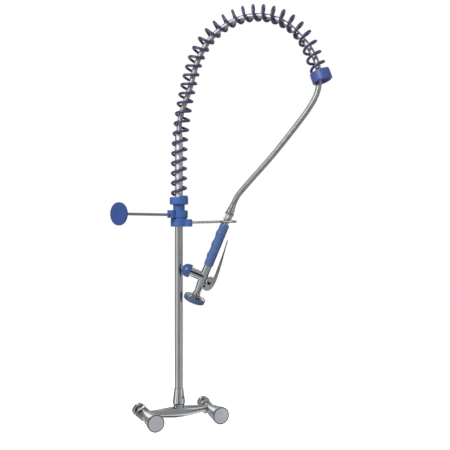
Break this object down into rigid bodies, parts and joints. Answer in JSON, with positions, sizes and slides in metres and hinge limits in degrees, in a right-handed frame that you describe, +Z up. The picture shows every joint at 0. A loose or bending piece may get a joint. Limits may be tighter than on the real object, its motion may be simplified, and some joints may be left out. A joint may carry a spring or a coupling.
{
  "type": "pre-rinse mixer tap",
  "caption": "Wall mixer with two handles, a riser with a wall bracket and hook, and a sprung arch of hose ending in a lever spray gun.",
  "frame": {"origin": "on the wall face, midway between the two wall inlets", "axes": "+X along the mixer to the cold inlet, +Y into the wall, +Z up along the riser"},
  "size_m": [0.4209, 0.3205, 0.9082],
  "materials": {
    "chrome": "polished",
    "steel_rod": "satin",
    "blue_collar": "satin",
    "blue_disc": "satin",
    "blue_grip": "matt",
    "spring_coat": "satin coated",
    "hose_braid": "braided",
    "black_rubber": "matt",
    "fibre": "matt",
    "brass": "machined",
    "ceramic": "ground",
    "knob_face": "satin",
    "index_red": "gloss",
    "index_blue": "gloss",
    "spring_steel": "bright",
    "tip_white": "satin"
  },
  "bodies": {
    "mixer": {"mixer_body": "chrome", "riser_nut": "chrome", "grub_screw": "steel_rod", "nut_seal": "black_rubber", "wall_union_hot": "chrome", "union_nut_hot": "chrome", "union_washer_hot": "fibre", "headwork_hot": "brass", "seat_seal_hot": "black_rubber", "fixed_disc_hot": "ceramic", "wall_union_cold": "chrome", "union_nut_cold": "chrome", "union_washer_cold": "fibre", "headwork_cold": "brass", "seat_seal_cold": "black_rubber", "fixed_disc_cold": "ceramic"},
    "handle_hot": {"moving_disc_hot": "ceramic", "spindle_hot": "brass", "handle_hot": "chrome", "index_ring_hot": "index_red", "handle_cap_hot": "knob_face", "handle_screw_hot": "steel_rod"},
    "handle_cold": {"moving_disc_cold": "ceramic", "spindle_cold": "brass", "handle_cold": "chrome", "index_ring_cold": "index_blue", "handle_cap_cold": "knob_face", "handle_screw_cold": "steel_rod"},
    "column": {"riser_tube": "chrome", "riser_seals": "black_rubber", "hose_adapter": "chrome", "spring_seat": "blue_collar", "seat_screw": "steel_rod", "hook_collar": "blue_collar", "hook_rod": "steel_rod", "hook_screw": "steel_rod", "spring": "spring_coat", "end_collar": "blue_disc", "hose_in_spring": "hose_braid"},
    "wall_bracket": {"bracket_ring": "blue_collar", "bracket_rod": "steel_rod", "bracket_screw": "steel_rod", "wall_flange": "blue_disc"},
    "spray_gun": {"hose_free": "hose_braid", "hose_ferrule": "chrome", "gun_o_ring": "black_rubber", "gun_nut": "chrome", "gun_body": "chrome", "grip_sleeve": "blue_grip", "valve_cap": "blue_collar", "cap_tip": "tip_white", "valve_spring": "spring_steel", "lever_pin": "blue_collar", "spray_bell": "chrome", "spray_face": "blue_disc"},
    "squeeze_lever": {"lever": "chrome"},
    "valve": {"valve_stem": "steel_rod"}
  },
  "joints": [
    {"name": "hot_handle_turn", "type": "hinge", "parent": "mixer", "child": "handle_hot", "pos_m": [-0.075, -0.06, 0], "axis": [0, -1, 0], "range_deg": [0, 180]},
    {"name": "cold_handle_turn", "type": "hinge", "parent": "mixer", "child": "handle_cold", "pos_m": [0.075, -0.06, 0], "axis": [0, 1, 0], "range_deg": [0, 180]},
    {"name": "column_swivel", "type": "hinge", "parent": "mixer", "child": "column", "pos_m": [0, -0.06, 0.0153], "axis": [0, 0, 1], "range_deg": [-40, 60]},
    {"name": "bracket_swivel", "type": "hinge", "parent": "mixer", "child": "wall_bracket", "pos_m": [0, -0.06, 0.44], "axis": [0, 0, 1], "range_deg": [-39, 40]},
    {"name": "gun_swing", "type": "hinge", "parent": "column", "child": "spray_gun", "pos_m": [0.07802, -0.14367, 0.4258], "axis": [-0.7314, -0.682, 0], "range_deg": [0, 30], "stiffness_Nm_per_rad": 0.3, "springref_deg": -51.57, "deforming": ["hose_free"]},
    {"name": "lever_squeeze", "type": "hinge", "parent": "spray_gun", "child": "squeeze_lever", "pos_m": [0.04338, -0.1022, 0.28539], "axis": [-0.4743, -0.8692, -0.1397], "range_deg": [0, 3.3], "stiffness_Nm_per_rad": 3, "springref_deg": -3.44},
    {"name": "valve_travel", "type": "slide", "parent": "spray_gun", "child": "valve", "axis": [-0.8351, 0.3941, 0.3837], "range_m": [0, 0.00102], "deforming": ["valve_spring"]}
  ],
  "couplings": [
    {"joint": "valve_travel", "follows": "lever_squeeze", "m_per_rad": 0.0174}
  ]
}
